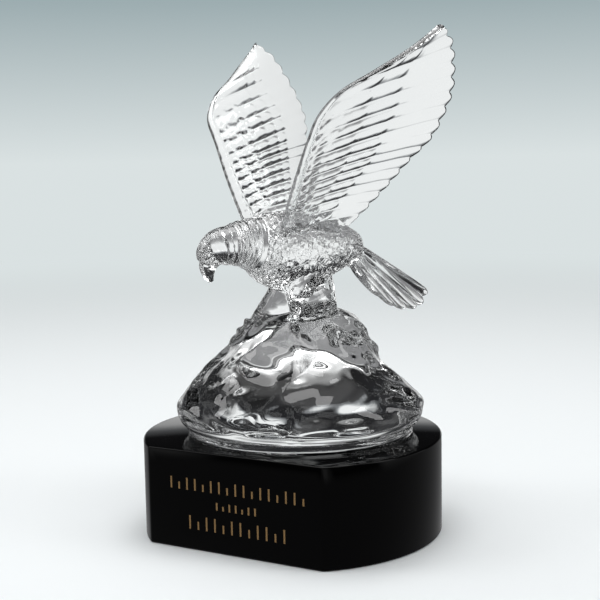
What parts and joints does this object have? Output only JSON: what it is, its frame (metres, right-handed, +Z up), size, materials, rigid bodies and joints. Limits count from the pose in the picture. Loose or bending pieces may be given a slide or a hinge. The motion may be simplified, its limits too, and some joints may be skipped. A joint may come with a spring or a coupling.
{
  "type": "crystal eagle award",
  "caption": "Clear glass eagle with raised wings standing on a clear glass rock, set on a black glass plinth with a flat engraved front.",
  "frame": {"origin": "middle of the plinth's underside, half way between its flat front and its round back", "axes": "+Z up, -Y out of the plinth's flat inscribed front, +X to the right when the flat front is faced"},
  "size_m": [0.1465, 0.1367, 0.2333],
  "materials": {
    "black_glass": "polished opaque black glass with gold-filled engraving",
    "clear_crystal": "clear pressed crystal glass, fire-polished"
  },
  "bodies": {
    "root": {"black_glass_plinth": "black_glass", "crystal_eagle": "clear_crystal"}
  },
  "joints": []
}
